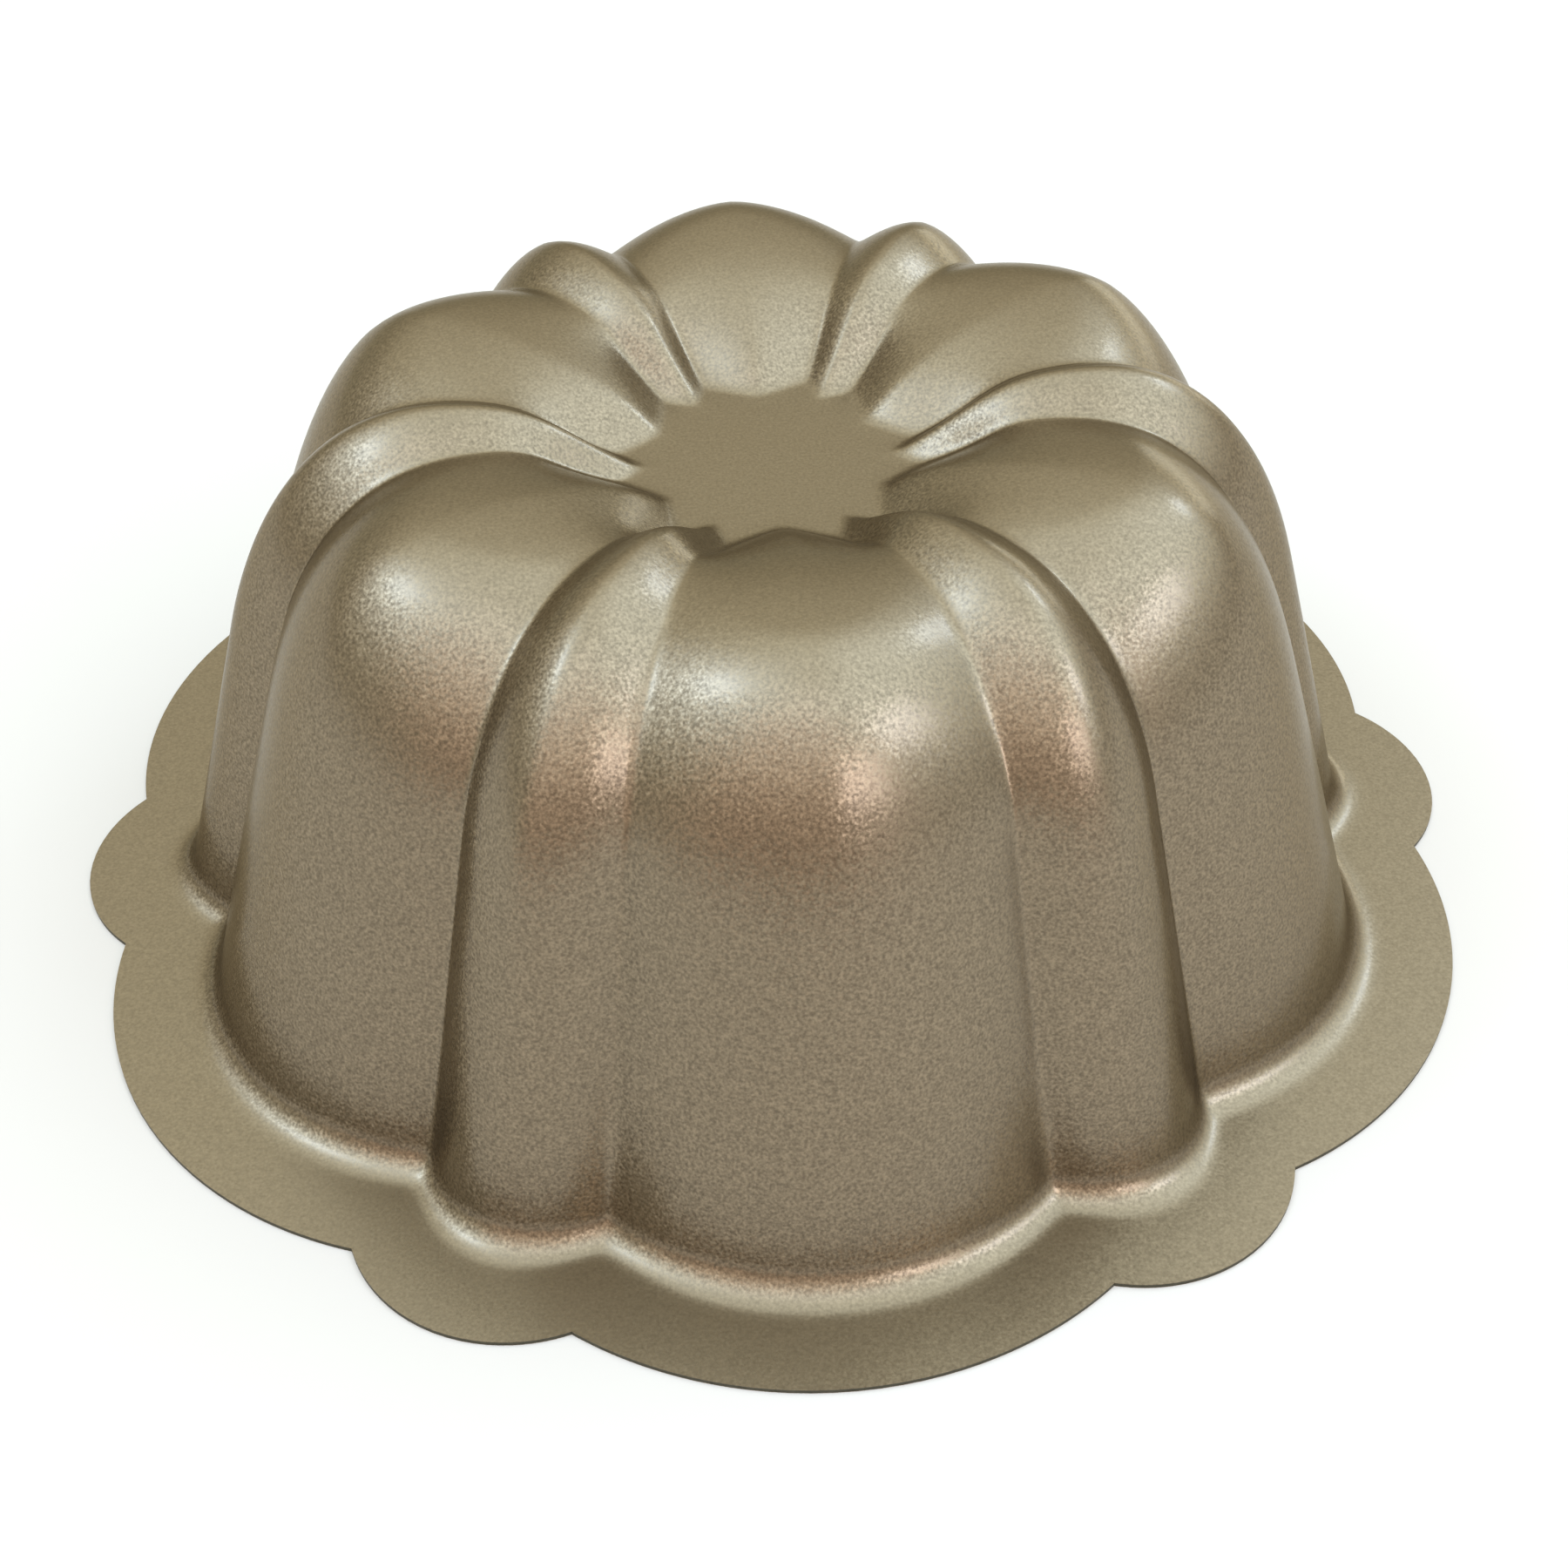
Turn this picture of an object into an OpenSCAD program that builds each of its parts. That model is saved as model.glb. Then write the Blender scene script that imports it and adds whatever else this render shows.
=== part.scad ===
// Fluted cake pan, standing crown up on its flange.
// Six wide flutes alternate with six narrow ones round a closed, sunken web.
// One pressed steel sheet with a coating on each side; millimetres throughout.
// Heights are measured from the plane the flange rests on, radii from the axis.

/* [Sheet] */
// Thickness of the steel sheet
steel_t = 0.7; // [0.5:0.1:1.2]
// Thickness of each coating
coating_t = 0.1; // [0.05:0.05:0.2]

/* [Flange] */
// Radius of the notches in the scalloped edge
notch_r = 116; // [114:0.5:119]
// Radius of a wide scallop's tip
wide_tip_r = 123; // [121:0.5:126]
// Radius of a narrow scallop's tip
narrow_tip_r = 122.5; // [121:0.5:125]

/* [Flutes] */
// Half of the angle that a wide flute takes
wide_half_angle = 20.6; // [19:0.1:22]
// How round the flutes are in plan, where 1 is a straight flank
plan_power = 1.6; // [1.3:0.1:2.2]
// How round the flutes are in height, where 1 is a straight flank
height_power = 1.5; // [1.3:0.1:2.2]
// Fullness of the shoulder and of the crown's inner side
fullness = 0.53; // [0.45:0.01:0.6]
// Reach of the foot fillet along the flange and up the wall
foot_fillet = 5; // [2:0.1:6]

/* [Wide flute ridge] */
// Radius at which the wall meets the flange
wide_foot_r = 106; // [104:0.5:108]
// Radius at the top of the straight wall
wide_wall_r = 90.5; // [88:0.5:93]
// Height at the top of the straight wall
wide_wall_z = 52; // [46:0.5:56]
// Radius of the crest
wide_crest_r = 60; // [56:0.5:64]
// Height of the crest
wide_crest_z = 91.5; // [89:0.5:95]
// Radius at which the ridge meets the web
wide_web_r = 20; // [18:0.5:22]
// Slope at which the ridge meets the web
wide_web_slope = 42; // [30:1:55]

/* [Narrow flute ridge] */
// Radius at which the wall meets the flange
narrow_foot_r = 104.5; // [103:0.5:107]
// Radius at the top of the straight wall
narrow_wall_r = 89.5; // [87:0.5:92]
// Height at the top of the straight wall
narrow_wall_z = 54; // [48:0.5:58]
// Radius of the crest
narrow_crest_r = 52; // [48:0.5:56]
// Height of the crest
narrow_crest_z = 93; // [91:0.5:97]
// Radius at which the ridge meets the web
narrow_web_r = 21; // [19:0.5:23]
// Slope at which the ridge meets the web
narrow_web_slope = 30; // [20:1:45]

/* [Crease between flutes] */
// Radius at which the wall meets the flange
crease_foot_r = 98; // [96:0.5:100]
// Radius at the top of the straight wall
crease_wall_r = 81; // [79:0.5:84]
// Height at the top of the straight wall
crease_wall_z = 60; // [54:0.5:64]
// Radius of the crest
crease_crest_r = 49; // [46:0.5:54]
// Height of the crest
crease_crest_z = 89; // [86:0.5:90]
// Radius at which the crease meets the web
crease_web_r = 24; // [23.5:0.5:27]
// Slope at which the crease meets the web
crease_web_slope = 21; // [15:1:35]

/* [Web] */
// Height of the web's upper face
web_z = 79.5; // [76:0.5:82]

/* [Fineness] */
// Facets from a wide ridge to its crease
wide_steps = 5; // [2:1:6]
// Facets from a narrow ridge to its crease
narrow_steps = 3; // [2:1:5]
// Facets along the foot fillet
fillet_steps = 4; // [2:1:5]
// Facets along the shoulder
shoulder_steps = 6; // [3:1:8]
// Facets from the crest to the web
crown_steps = 5; // [3:1:8]

/* [Hidden] */

flute_pairs = 6;
pair_angle = 360 / flute_pairs;
narrow_half_angle = pair_angle / 2 - wide_half_angle;
flange_z = steel_t + coating_t;

// A ridge or a crease: foot, top of the wall, crest, and where it meets the web.
wide_ridge = [[wide_foot_r, flange_z], [wide_wall_r, wide_wall_z],
              [wide_crest_r, wide_crest_z], [wide_web_r, web_z], wide_web_slope];
narrow_ridge = [[narrow_foot_r, flange_z], [narrow_wall_r, narrow_wall_z],
                [narrow_crest_r, narrow_crest_z], [narrow_web_r, web_z], narrow_web_slope];
crease = [[crease_foot_r, flange_z], [crease_wall_r, crease_wall_z],
          [crease_crest_r, crease_crest_z], [crease_web_r, web_z], crease_web_slope];

// ---- small helpers ----
function lerp(a, b, t) = a + (b - a) * t;
function unit(v) = v / norm(v);
function arc_bend(a, b, c, t) = lerp(lerp(a, b, t), lerp(b, c, t), t);
function bezier(a, b, c, d, t) = lerp(arc_bend(a, b, c, t), arc_bend(b, c, d, t), t);

// Points of a ridge or a crease, [radius, height], from the flange to the web.
function profile(line) =
    let(foot = line[0], wall = line[1], crest = line[2], web = line[3], slope = line[4])
    let(up = unit(wall - foot))
    let(shoulder_run = (crest[1] - wall[1]) / up[1] * fullness)
    let(shoulder_reach = (wall[0] - crest[0]) * fullness)
    let(crown_reach = (crest[0] - web[0]) * fullness)
    let(web_run = min((crest[0] - web[0]) / cos(slope), (crest[1] - web[1]) / sin(slope)) * fullness)
    concat(
        [for (i = [0 : fillet_steps])
            arc_bend(foot + [foot_fillet, 0], foot, foot + up * foot_fillet, i / fillet_steps)],
        [for (i = [0 : shoulder_steps])
            bezier(wall, wall + up * shoulder_run, crest + [shoulder_reach, 0], crest, i / shoulder_steps)],
        [for (i = [1 : crown_steps])
            bezier(crest, crest - [crown_reach, 0],
                   web + web_run * [cos(slope), sin(slope)], web, i / crown_steps)]
    );

wide_profile = profile(wide_ridge);
narrow_profile = profile(narrow_ridge);
crease_profile = profile(crease);
ring_count = len(crease_profile) + 1;

// Radius of a scallop's arc at an angle off its tip: a circle through the tip and both notches.
function scallop_r(tip_r, half_angle, off) =
    let(centre = (tip_r * tip_r - notch_r * notch_r) / (2 * (tip_r - notch_r * cos(half_angle))))
    let(radius = tip_r - centre)
    centre * cos(off) + sqrt(radius * radius - pow(centre * sin(off), 2));

// One radial line of the outer skin: its flange edge, then its profile points down to the web.
function skin_line(ridge_profile, tip_r, half_angle, middle, part) =
    let(turn = middle + part * half_angle)
    let(out = [sin(turn), -cos(turn), 0])
    let(plan = pow(abs(part), plan_power), rise = pow(abs(part), height_power))
    concat(
        [scallop_r(tip_r, half_angle, part * half_angle) * out + [0, 0, flange_z]],
        [for (i = [0 : ring_count - 2])
            lerp(ridge_profile[i][0], crease_profile[i][0], plan) * out
            + [0, 0, lerp(ridge_profile[i][1], crease_profile[i][1], rise)]]
    );

// The outer skin, line by line round the axis. A wide ridge faces -Y.
skin = [for (pair = [0 : flute_pairs - 1]) each concat(
    [for (i = [-wide_steps : wide_steps - 1])
        skin_line(wide_profile, wide_tip_r, wide_half_angle, pair * pair_angle, i / wide_steps)],
    [for (i = [-narrow_steps : narrow_steps - 1])
        skin_line(narrow_profile, narrow_tip_r, narrow_half_angle, (pair + 0.5) * pair_angle,
                  i / narrow_steps)]
)];
line_count = len(skin);

// Outward direction at a point of the skin; the flange and the web are level.
function skin_normal(line, ring) =
    ring < 2 || ring == ring_count - 1 ? [0, 0, 1] :
    let(round_axis = skin[(line + 1) % line_count][ring] - skin[(line + line_count - 1) % line_count][ring])
    let(inwards = skin[line][ring + 1] - skin[line][ring - 1])
    unit(cross(round_axis, inwards));

normals = [for (line = [0 : line_count - 1]) [for (ring = [0 : ring_count - 1]) skin_normal(line, ring)]];

// The skin moved inwards by depth, from first_ring to the web, and the web's centre last.
function sheet_points(depth, first_ring) = concat(
    [for (line = [0 : line_count - 1], ring = [first_ring : ring_count - 1])
        skin[line][ring] - depth * normals[line][ring]],
    [[0, 0, web_z - depth]]
);

// Two triangles between four points given in order round the face.
function two_triangles(a, b, c, d) = [[a, b, c], [a, c, d]];

// Triangles of one side of a sheet, clockwise from above.
function sheet_faces(rings) = [for (line = [0 : line_count - 1])
    let(here = line * rings, next = (line + 1) % line_count * rings)
    each concat(
        [for (ring = [0 : rings - 2])
            each two_triangles(here + ring, here + ring + 1, next + ring + 1, next + ring)],
        [[here + rings - 1, line_count * rings, next + rings - 1]]
    )];

function reversed(faces) = [for (face = faces) [face[2], face[1], face[0]]];
function shifted(faces, by) = [for (face = faces) [for (point = face) point + by]];

// A layer of the pan between two depths below the outer skin.
module layer(top_depth, bottom_depth, first_ring) {
    rings = ring_count - first_ring;
    side_points = line_count * rings + 1;
    top_faces = sheet_faces(rings);
    edge_faces = [for (line = [0 : line_count - 1])
        let(here = line * rings, next = (line + 1) % line_count * rings)
        each two_triangles(here, next, next + side_points, here + side_points)];
    polyhedron(
        points = concat(sheet_points(top_depth, first_ring), sheet_points(bottom_depth, first_ring)),
        faces = concat(top_faces, shifted(reversed(top_faces), side_points), edge_faces)
    );
}

// The pressed sheet, from the trimmed edge of the flange to the web.
module steel_shell() {
    color("silver")
        layer(coating_t, coating_t + steel_t, 0);
}

// The metallic release coating on the outside, which also covers the flange's upper face.
module outer_coating() {
    color("#8b7c60")
        layer(0, coating_t, 0);
}

// The release coating that touches the cake. It starts just inside the foot fillet.
module inner_coating() {
    color("#7d705a")
        layer(coating_t + steel_t, steel_t + 2 * coating_t, 2);
}

steel_shell();
outer_coating();
inner_coating();
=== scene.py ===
"""Looks of a fluted cake pan in pressed steel with a champagne-gold release coating."""

import math

import bmesh
import bpy
import numpy as np
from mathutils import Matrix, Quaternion, Vector


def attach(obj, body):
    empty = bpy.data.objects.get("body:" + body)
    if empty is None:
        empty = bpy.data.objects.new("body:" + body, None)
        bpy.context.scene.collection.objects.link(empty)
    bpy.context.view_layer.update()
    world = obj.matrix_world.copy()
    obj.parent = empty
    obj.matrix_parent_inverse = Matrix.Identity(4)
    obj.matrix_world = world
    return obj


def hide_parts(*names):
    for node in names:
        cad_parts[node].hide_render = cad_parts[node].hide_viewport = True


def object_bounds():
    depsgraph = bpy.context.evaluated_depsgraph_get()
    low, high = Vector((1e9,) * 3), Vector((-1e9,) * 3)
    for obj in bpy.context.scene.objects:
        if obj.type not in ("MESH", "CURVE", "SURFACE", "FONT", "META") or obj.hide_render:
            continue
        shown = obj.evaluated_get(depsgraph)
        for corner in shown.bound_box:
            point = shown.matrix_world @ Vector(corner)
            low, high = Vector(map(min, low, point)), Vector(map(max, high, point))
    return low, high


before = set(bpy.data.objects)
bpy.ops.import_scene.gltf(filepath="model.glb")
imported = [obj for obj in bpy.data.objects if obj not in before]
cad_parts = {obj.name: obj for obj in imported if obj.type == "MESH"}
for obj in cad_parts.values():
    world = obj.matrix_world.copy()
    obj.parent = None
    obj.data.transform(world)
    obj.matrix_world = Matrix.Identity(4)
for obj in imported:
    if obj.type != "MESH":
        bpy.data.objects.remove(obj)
CAD_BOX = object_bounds()
MM = 0.001

# ---- the pan's driving dimensions, in millimetres ----
SHEET_T = 0.8  # steel and both coatings; the flange rests on its underside
FILM = 0.1  # each coating
NOTCH_R = 116.0  # notches of the scalloped edge
WIDE_TIP_R = 123.0  # tips of the wide scallops
NARROW_TIP_R = 122.5  # tips of the narrow scallops
WIDE_HALF = math.radians(20.6)  # half of the angle that a wide flute takes
PAIRS = 6  # a wide and a narrow flute each
NARROW_HALF = math.pi / PAIRS - WIDE_HALF
WEB_Z = 79.5  # upper face of the web
FULLNESS = 0.53  # fullness of the shoulder and of the crown's inner side
FOOT_FILLET = 5.0  # reach of the foot fillet along the flange and up the wall
WEB_FILLET = 1.8  # reach of the fillet round the web

# A ridge or a crease: foot, top of the straight wall, crest and web, each (radius, height),
# then its slope where it meets the web.
WIDE_RIDGE = ((106, SHEET_T), (90.5, 52), (60, 91.5), (20, WEB_Z), math.radians(42))
NARROW_RIDGE = ((104.5, SHEET_T), (89.5, 54), (52, 93), (21, WEB_Z), math.radians(30))
CREASE = ((98, SHEET_T), (81, 60), (49, 89), (24, WEB_Z), math.radians(21))

# The tables below go by climb: 0 where a crease leaves the flange, 1 at its crest.
# How round a flute is in plan: 1 is a straight flank, 2 an arc.
CROWN_POWER = 1.6
PLAN_POWER = ((0, 2.0), (0.7, CROWN_POWER))
# How round a flute is in height, all the way up
HEIGHT_POWER = 1.5
# Half-width of the rounded bottom of a crease, on the wall and from the crest in to the web
CREST_ROUNDING = 1.1
WALL_ROUNDING = ((0, 1.8), (0.35, 0.6), (0.75, 0.6), (1, CREST_ROUNDING))
CROWN_ROUNDING = ((0.9, 0.6), (1, CREST_ROUNDING))

# ---- fineness of the mesh ----
FLANGE_STEPS, FILLET_STEPS, WALL_STEPS, SHOULDER_STEPS, CROWN_STEPS = 8, 10, 22, 30, 30
WIDE_STEPS, NARROW_STEPS = 24, 16
WEB_STEPS = 6
CREASE_CROWDING = 1.9  # how the radial lines crowd towards a crease: 1 is evenly spaced
SHARP_ANGLE = math.radians(50)  # only the trimmed edge of the flange turns more than this


# ---- shape ----
def arc_bend(a, b, c, t):
    return (1 - t) ** 2 * a + 2 * t * (1 - t) * b + t**2 * c


def bezier(a, b, c, d, t):
    return (1 - t) * arc_bend(a, b, c, t) + t * arc_bend(b, c, d, t)


def steps(count, last=1.0):
    return np.linspace(0, last, count + 1)[:, None]


def by_climb(climb, table):
    return np.interp(climb, *zip(*table))


def profile(line):
    """Radius and height along a ridge or a crease, from the flange to the web's edge."""
    foot, wall, crest, web = (np.array(p, float) for p in line[:4])
    away = np.array([math.cos(line[4]), math.sin(line[4])])
    up = (wall - foot) / np.linalg.norm(wall - foot)
    shoulder_run = (crest[1] - wall[1]) / up[1] * FULLNESS
    shoulder_reach = np.array([(wall[0] - crest[0]) * FULLNESS, 0])
    crown_reach = np.array([(crest[0] - web[0]) * FULLNESS, 0])
    web_run = min((crest[0] - web[0]) / away[0], (crest[1] - web[1]) / away[1]) * FULLNESS
    fillet_top = foot + up * FOOT_FILLET
    # The crown's curve stops a fillet short of the web: it ends at a speed of 3 x web_run.
    crown_end = 1 - WEB_FILLET / (3 * web_run)
    crown = bezier(crest, crest - crown_reach, web + web_run * away, web,
                   steps(CROWN_STEPS, crown_end))
    return np.vstack([
        arc_bend(foot + [FOOT_FILLET, 0], foot, fillet_top, steps(FILLET_STEPS))[:-1],
        (fillet_top + (wall - fillet_top) * steps(WALL_STEPS))[:-1],
        bezier(wall, wall + up * shoulder_run, crest + shoulder_reach, crest,
               steps(SHOULDER_STEPS))[:-1],
        crown,
        arc_bend(crown[-1], web, web - [WEB_FILLET, 0], steps(FILLET_STEPS // 2))[1:],
    ])


def scallop_r(tip_r, half, off):
    """Radius of a scallop at an angle off its tip: a circle through the tip and both notches."""
    centre = (tip_r**2 - NOTCH_R**2) / (2 * (tip_r - NOTCH_R * math.cos(half)))
    return centre * np.cos(off) + np.sqrt((tip_r - centre) ** 2 - (centre * np.sin(off)) ** 2)


def flute(ridge, tip_r, half, middle, count):
    """Points of one flute's outer skin, as (radial lines, rings, xyz), without its last line."""
    ridge_line, crease_line = profile(ridge), profile(CREASE)
    climb = (crease_line[:, 1] - SHEET_T) / (crease_line[:, 1].max() - SHEET_T)
    inward = np.arange(len(crease_line)) > crease_line[:, 1].argmax()

    # Where each radial line lies: -1 at one crease, 0 on the ridge, 1 at the other crease.
    from_crease = (np.arange(count) / count) ** CREASE_CROWDING
    part = np.concatenate([from_crease - 1, [0], 1 - from_crease[:0:-1]])

    # The same from the ridge, 0, to a crease, 1, with the crease's bottom rounded.
    width = np.where(inward, by_climb(climb, CROWN_ROUNDING), by_climb(climb, WALL_ROUNDING))
    width = width[None, :] / (crease_line[:, 0] * half)
    near = 1 - np.abs(part)[:, None]
    off = 1 - (np.sqrt(near**2 + width**2) - width) / (np.sqrt(1 + width**2) - width)

    power = np.where(inward, CROWN_POWER, by_climb(climb, PLAN_POWER))[None, :]
    r = ridge_line[:, 0] + (crease_line[:, 0] - ridge_line[:, 0]) * off**power
    z = ridge_line[:, 1] + (crease_line[:, 1] - ridge_line[:, 1]) * off**HEIGHT_POWER
    edge_r = scallop_r(tip_r, half, part[:, None] * half)
    flange = edge_r + (r[:, :1] - edge_r) * steps(FLANGE_STEPS)[:-1, 0]
    web = r[:, -1:] * (1 - steps(WEB_STEPS)[1:-1, 0])
    r = np.hstack([flange, r, web])
    z = np.hstack([np.full(flange.shape, SHEET_T), z, np.full(web.shape, WEB_Z)])
    turn = middle + part[:, None] * half
    return np.stack([r * np.sin(turn), -r * np.cos(turn), z], -1)


def outer_skin():
    """The whole outer skin, line by line round the axis. A wide ridge faces -Y."""
    lines = []
    for pair in range(PAIRS):
        turn = 2 * math.pi * pair / PAIRS
        lines.append(flute(WIDE_RIDGE, WIDE_TIP_R, WIDE_HALF, turn, WIDE_STEPS))
        lines.append(flute(NARROW_RIDGE, NARROW_TIP_R, NARROW_HALF, turn + math.pi / PAIRS,
                           NARROW_STEPS))
    return np.concatenate(lines)


def skin_normals(skin):
    """Outward direction at each point of the skin; the flange and the web are level."""
    around = np.roll(skin, -1, 0) - np.roll(skin, 1, 0)
    inwards = np.gradient(skin, axis=1)
    normal = np.cross(around, inwards)
    normal /= np.linalg.norm(normal, axis=2, keepdims=True)
    normal[:, :FLANGE_STEPS + 1] = (0, 0, 1)
    normal[:, -WEB_STEPS:] = (0, 0, 1)
    return normal


SKIN = outer_skin()
NORMALS = skin_normals(SKIN)


def layer(name, top, bottom):
    """A closed layer of the sheet between two depths below the outer skin, in millimetres."""
    lines, rings = SKIN.shape[:2]
    points = [np.vstack([(SKIN - depth * NORMALS).reshape(-1, 3), [[0, 0, WEB_Z - depth]]])
              for depth in (top, bottom)]
    per_side = lines * rings + 1
    here = np.arange(lines)[:, None] * rings + np.arange(rings - 1)[None, :]
    across = (here + rings) % (lines * rings)
    quads = np.stack([here, across, across + 1, here + 1], -1).reshape(-1, 4)
    last = np.arange(lines) * rings + rings - 1
    fans = np.stack([last, np.roll(last, -1), np.full(lines, per_side - 1)], -1)
    edge = np.arange(lines) * rings
    rim = np.stack([edge, edge + per_side, np.roll(edge, -1) + per_side, np.roll(edge, -1)], -1)
    faces = quads.tolist() + fans.tolist() + rim.tolist()
    faces += (quads[:, ::-1] + per_side).tolist() + (fans[:, ::-1] + per_side).tolist()
    mesh = bpy.data.meshes.new(name)
    mesh.from_pydata((np.vstack(points) * MM).tolist(), [], faces)
    mesh.shade_smooth()
    mesh.set_sharp_from_angle(angle=SHARP_ANGLE)
    piece = bpy.data.objects.new(name, mesh)
    bpy.context.scene.collection.objects.link(piece)
    return piece


# ---- materials; the scales of noise are per metre ----
CHAMPAGNE_PALE = (0.281, 0.222, 0.147)
CHAMPAGNE_DEEP = (0.137, 0.107, 0.070)
CHAMPAGNE_SPECULAR = (0.5, 0.43, 0.32)
EDGE_DARK = (0.05, 0.045, 0.03)
EDGE_LIGHT = (0.12, 0.11, 0.08)
METALLIC = 0.9
NOISE_DETAIL = 2

FLAKE_SCALE = 2000
FLAKE_TILT = 0.34  # how far a flake leans
FLAKE_TONES = (-0.2, 0.2)  # flakes between these run from the deep to the pale tone
STEEP_TO_LEVEL = (0.75, 0.99)  # upward part of the normal between which the flakes settle
SETTLED_GRAIN = 0.4  # share of the grain left on a level face
MOTTLE_SCALE = 30
COATING_ROUGHNESS = 0.30
ROUGHNESS_MOTTLE = 0.03  # how far the roughness strays either way
COAT_WEIGHT, COAT_ROUGHNESS, COAT_IOR = 0.35, 0.2, 1.5

SHEAR_SCALE = 900
EDGE_ROUGHNESS = 0.5


def new_material(name):
    material = bpy.data.materials.new(name)
    material.use_nodes = True
    nodes, links = material.node_tree.nodes, material.node_tree.links
    return material, nodes, links, nodes["Principled BSDF"]


def noise(nodes, links, place, scale):
    texture = nodes.new("ShaderNodeTexNoise")
    texture.inputs["Scale"].default_value = scale
    texture.inputs["Detail"].default_value = NOISE_DETAIL
    links.new(place, texture.inputs["Vector"])
    return texture


def vector_math(nodes, links, operation, value):
    """A vector node working on a value; its other inputs are set by the caller."""
    node = nodes.new("ShaderNodeVectorMath")
    node.operation = operation
    links.new(value, node.inputs[0])
    return node


def part_of(nodes, links, vector, axis):
    split = nodes.new("ShaderNodeSeparateXYZ")
    links.new(vector, split.inputs[0])
    return split.outputs[axis]


def map_range(nodes, links, value, source, target=(0, 1)):
    node = nodes.new("ShaderNodeMapRange")
    node.inputs["From Min"].default_value, node.inputs["From Max"].default_value = source
    node.inputs["To Min"].default_value, node.inputs["To Max"].default_value = target
    links.new(value, node.inputs["Value"])
    return node.outputs["Result"]


def two_tones(nodes, links, value, low, high):
    ramp = nodes.new("ShaderNodeValToRGB")
    ramp.color_ramp.elements[0].color = (*low, 1)
    ramp.color_ramp.elements[1].color = (*high, 1)
    links.new(value, ramp.inputs["Fac"])
    return ramp.outputs["Color"]


def release_coating(name):
    """Metallic release coating: fine flakes that differ in tone and lean, most on steep faces."""
    material, nodes, links, shader = new_material(name)
    place = nodes.new("ShaderNodeTexCoord").outputs["Object"]
    facing = nodes.new("ShaderNodeNewGeometry").outputs["Normal"]

    flake = noise(nodes, links, place, FLAKE_SCALE)
    spread = vector_math(nodes, links, "SUBTRACT", flake.outputs["Color"])
    spread.inputs[1].default_value = (0.5, 0.5, 0.5)  # the middle of the noise
    unsettled = map_range(nodes, links, part_of(nodes, links, facing, "Z"), STEEP_TO_LEVEL,
                          (1, SETTLED_GRAIN))
    grain = vector_math(nodes, links, "SCALE", spread.outputs["Vector"])
    links.new(unsettled, grain.inputs["Scale"])

    leaning = vector_math(nodes, links, "MULTIPLY_ADD", grain.outputs["Vector"])
    leaning.inputs[1].default_value = (FLAKE_TILT, FLAKE_TILT, FLAKE_TILT)
    links.new(facing, leaning.inputs[2])
    normal = vector_math(nodes, links, "NORMALIZE", leaning.outputs["Vector"])
    links.new(normal.outputs["Vector"], shader.inputs["Normal"])

    tone = map_range(nodes, links, part_of(nodes, links, grain.outputs["Vector"], "X"), FLAKE_TONES)
    colour = two_tones(nodes, links, tone, CHAMPAGNE_DEEP, CHAMPAGNE_PALE)
    links.new(colour, shader.inputs["Base Color"])

    mottle = noise(nodes, links, place, MOTTLE_SCALE)
    roughness = map_range(nodes, links, mottle.outputs["Fac"], (0, 1),
                          (COATING_ROUGHNESS - ROUGHNESS_MOTTLE, COATING_ROUGHNESS + ROUGHNESS_MOTTLE))
    links.new(roughness, shader.inputs["Roughness"])

    shader.inputs["Metallic"].default_value = METALLIC
    shader.inputs["Specular Tint"].default_value = (*CHAMPAGNE_SPECULAR, 1)
    shader.inputs["Coat Weight"].default_value = COAT_WEIGHT
    shader.inputs["Coat Roughness"].default_value = COAT_ROUGHNESS
    shader.inputs["Coat IOR"].default_value = COAT_IOR
    return material


def cut_steel(name):
    """The sheet's trimmed edge: dark steel, mottled by the shear."""
    material, nodes, links, shader = new_material(name)
    place = nodes.new("ShaderNodeTexCoord").outputs["Object"]
    shear = noise(nodes, links, place, SHEAR_SCALE)
    colour = two_tones(nodes, links, shear.outputs["Fac"], EDGE_DARK, EDGE_LIGHT)
    links.new(colour, shader.inputs["Base Color"])
    shader.inputs["Metallic"].default_value = METALLIC
    shader.inputs["Roughness"].default_value = EDGE_ROUGHNESS
    return material


# ---- studio; lengths in metres ----
FLOOR_TONE = (0.545, 0.51, 0.475)
FLOOR_ROUGHNESS = 0.9
FLOOR_HALF_WIDTH = 40  # wide, so that its edge is a level horizon from low down
SOFTBOX_DISTANCE = 1.2
CLIP_START = 0.01

# Walls of the sky. Each tone is (elevation in degrees, colour).
SKY_STRENGTH = 2.5
CEILING = (0.78, 0.87, 0.88)
BACK = (
    (0, (0.22, 0.225, 0.18)), (20, (0.26, 0.245, 0.18)), (30, (0.43, 0.42, 0.33)),
    (44, (0.49, 0.49, 0.405)), (61, (0.76, 0.83, 0.79)), (80, CEILING),
)
FRONT = (
    (0, (0.20, 0.135, 0.10)), (10, (0.31, 0.225, 0.175)), (20, (0.53, 0.44, 0.38)),
    (31, (0.73, 0.67, 0.63)), (46, (0.80, 0.80, 0.83)), (58, (0.98, 1.08, 1.16)),
    (70, (1.00, 1.12, 1.20)), (84, CEILING),
)
RIGHT = (
    (0, (0.22, 0.20, 0.17)), (10, (0.33, 0.32, 0.28)), (20, (0.61, 0.65, 0.61)),
    (30, (0.82, 0.94, 0.99)), (41, (0.90, 1.05, 1.13)), (58, (0.99, 1.15, 1.24)), (80, CEILING),
)
LEFT = (
    (0, (0.20, 0.18, 0.135)), (12, (0.29, 0.275, 0.215)), (24, (0.44, 0.45, 0.41)),
    (33, (0.74, 0.82, 0.87)), (42, (0.94, 1.12, 1.26)), (62, (0.98, 1.16, 1.30)), (80, CEILING),
)
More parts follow.
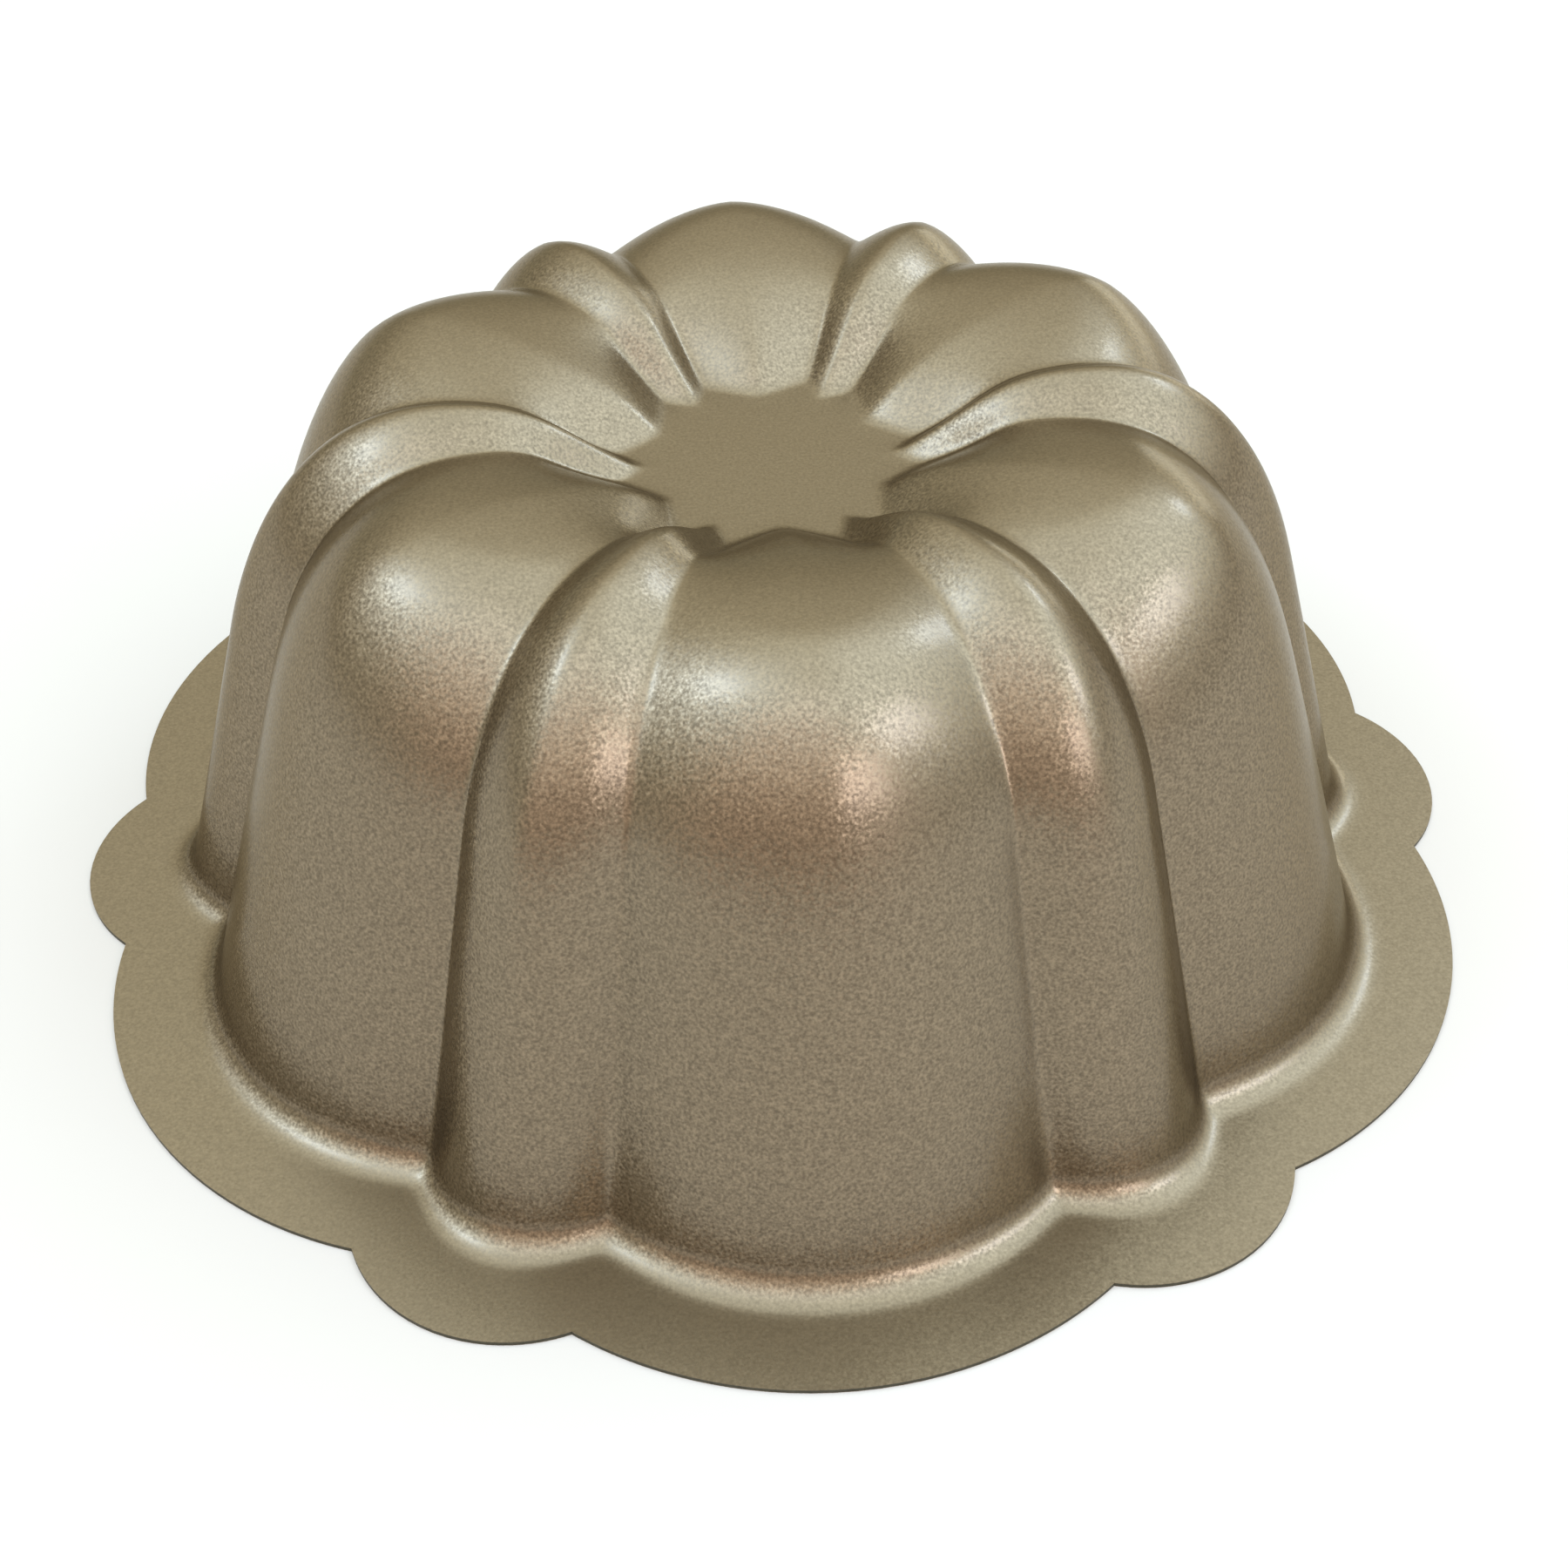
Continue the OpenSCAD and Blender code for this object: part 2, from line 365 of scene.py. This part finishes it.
# Each side wall with the axis it lies along and the values there between which it takes over.
SIDES = ((FRONT, "Y", (0.7, -0.5)), (RIGHT, "X", (0.30, 0.86)), (LEFT, "X", (-0.70, -0.97)))

# Name, azimuth, elevation, (width, height), radiance and tint
SOFTBOXES = (
    ("left_softbox", -88, 52, (0.30, 0.26), 3.8, (0.73, 1.0, 1.45)),
    ("back_softbox", 122, 37, (0.24, 0.17), 4.8, (0.75, 1.0, 1.42)),
    ("low_softbox", 141, 10, (0.60, 0.24), 2.2, (0.90, 1.0, 1.02)),
    ("right_softbox", 60, 34, (0.44, 0.28), 3.1, (0.92, 1.0, 1.32)),
    ("front_softbox", 29, 23, (0.42, 0.28), 3.6, (1.0, 0.93, 1.04)),
)
# Sockets of a Mix node that hold colours
MIX_FIRST, MIX_SECOND, MIX_RESULT = 6, 7, 2


def direction(azimuth, elevation):
    """Unit vector at an azimuth from -Y towards +X and an elevation, in degrees."""
    turn, tilt = math.radians(azimuth), math.radians(elevation)
    return Vector((math.sin(turn) * math.cos(tilt), -math.cos(turn) * math.cos(tilt), math.sin(tilt)))


def studio_floor():
    mesh = bpy.data.meshes.new("floor")
    grid = bmesh.new()
    bmesh.ops.create_grid(grid, x_segments=1, y_segments=1, size=FLOOR_HALF_WIDTH)
    grid.to_mesh(mesh)
    grid.free()
    floor = bpy.data.objects.new("floor", mesh)
    floor.location.z = CAD_BOX[0][2]
    bpy.context.scene.collection.objects.link(floor)
    material, _, _, shader = new_material("pale_paper")
    shader.inputs["Base Color"].default_value = (*FLOOR_TONE, 1)
    shader.inputs["Roughness"].default_value = FLOOR_ROUGHNESS
    mesh.materials.append(material)


def elevation_ramp(nodes, links, height, tones):
    ramp = nodes.new("ShaderNodeValToRGB")
    links.new(height, ramp.inputs["Fac"])
    stops = ramp.color_ramp.elements
    while len(stops) < len(tones):
        stops.new(0.5)  # placed below
    for stop, (elevation, colour) in zip(stops, tones):
        stop.position = math.sin(math.radians(elevation))
        stop.color = (*colour, 1)
    return ramp.outputs["Color"]


def studio_sky():
    """Soft walls of light on four sides under one ceiling, for reflections and fill."""
    world = bpy.data.worlds.new("studio")
    world.use_nodes = True
    nodes, links = world.node_tree.nodes, world.node_tree.links
    view = nodes.new("ShaderNodeTexCoord").outputs["Generated"]
    height = part_of(nodes, links, view, "Z")
    level = vector_math(nodes, links, "MULTIPLY", view)
    level.inputs[1].default_value = (1, 1, 0)
    heading = vector_math(nodes, links, "NORMALIZE", level.outputs["Vector"]).outputs["Vector"]
    sky = elevation_ramp(nodes, links, height, BACK)
    for tones, axis, takes_over in SIDES:
        share = map_range(nodes, links, part_of(nodes, links, heading, axis), takes_over)
        blend = nodes.new("ShaderNodeMix")
        blend.data_type = "RGBA"
        links.new(share, blend.inputs["Factor"])
        links.new(sky, blend.inputs[MIX_FIRST])
        links.new(elevation_ramp(nodes, links, height, tones), blend.inputs[MIX_SECOND])
        sky = blend.outputs[MIX_RESULT]
    background = nodes["Background"]
    links.new(sky, background.inputs["Color"])
    background.inputs["Strength"].default_value = SKY_STRENGTH
    bpy.context.scene.world = world


def softbox(name, azimuth, elevation, size, radiance, tint):
    """A soft light aimed at the pan."""
    light = bpy.data.lights.new(name, "AREA")
    light.shape = "RECTANGLE"
    light.size, light.size_y = size
    light.energy = radiance * math.pi * size[0] * size[1]
    light.color = tint
    box = bpy.data.objects.new(name, light)
    towards = direction(azimuth, elevation)
    box.location = towards * SOFTBOX_DISTANCE
    box.rotation_euler = towards.to_track_quat("Z", "Y").to_euler()
    bpy.context.scene.collection.objects.link(box)


def camera_at(azimuth, elevation, distance, aim, lens, roll, shift):
    """The scene's camera, at a distance in metres from the point that it is aimed at."""
    camera = bpy.data.objects.new("camera", bpy.data.cameras.new("camera"))
    camera.data.lens = lens
    camera.data.clip_start = CLIP_START
    camera.data.shift_x, camera.data.shift_y = shift
    back = direction(azimuth, elevation)
    camera.location = Vector(aim) + back * distance
    rolled = Quaternion((0, 0, 1), math.radians(roll))
    camera.rotation_euler = (back.to_track_quat("Z", "Y") @ rolled).to_euler()
    bpy.context.scene.collection.objects.link(camera)
    bpy.context.scene.camera = camera


# ---- the pan: each piece with the depths of its faces, its material, its CAD node and its slot ----
for name, top, bottom, material, node, slot in (
    ("outer_film", 0, FILM, release_coating("champagne_outside"),
     "outer_coating", "outer_release_coating"),
    ("pressed_sheet", FILM, SHEET_T - FILM, cut_steel("trimmed_steel"),
     "steel_shell", "steel_sheet"),
    ("inner_film", SHEET_T - FILM, SHEET_T, release_coating("champagne_inside"),
     "inner_coating", "inner_release_coating"),
):
    piece = layer(name, top, bottom)
    piece.data.materials.append(material)
    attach(piece, "root")
    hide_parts(node)

studio_floor()
studio_sky()
for settings in SOFTBOXES:
    softbox(*settings)
bpy.context.scene.view_settings.view_transform = "Standard"
camera_at(azimuth=-5.98, elevation=41.26, distance=0.4488, aim=(0.0048, 0.0088, 0.0008),
          lens=55.52, roll=-0.19, shift=(-0.0062, 0.0029))
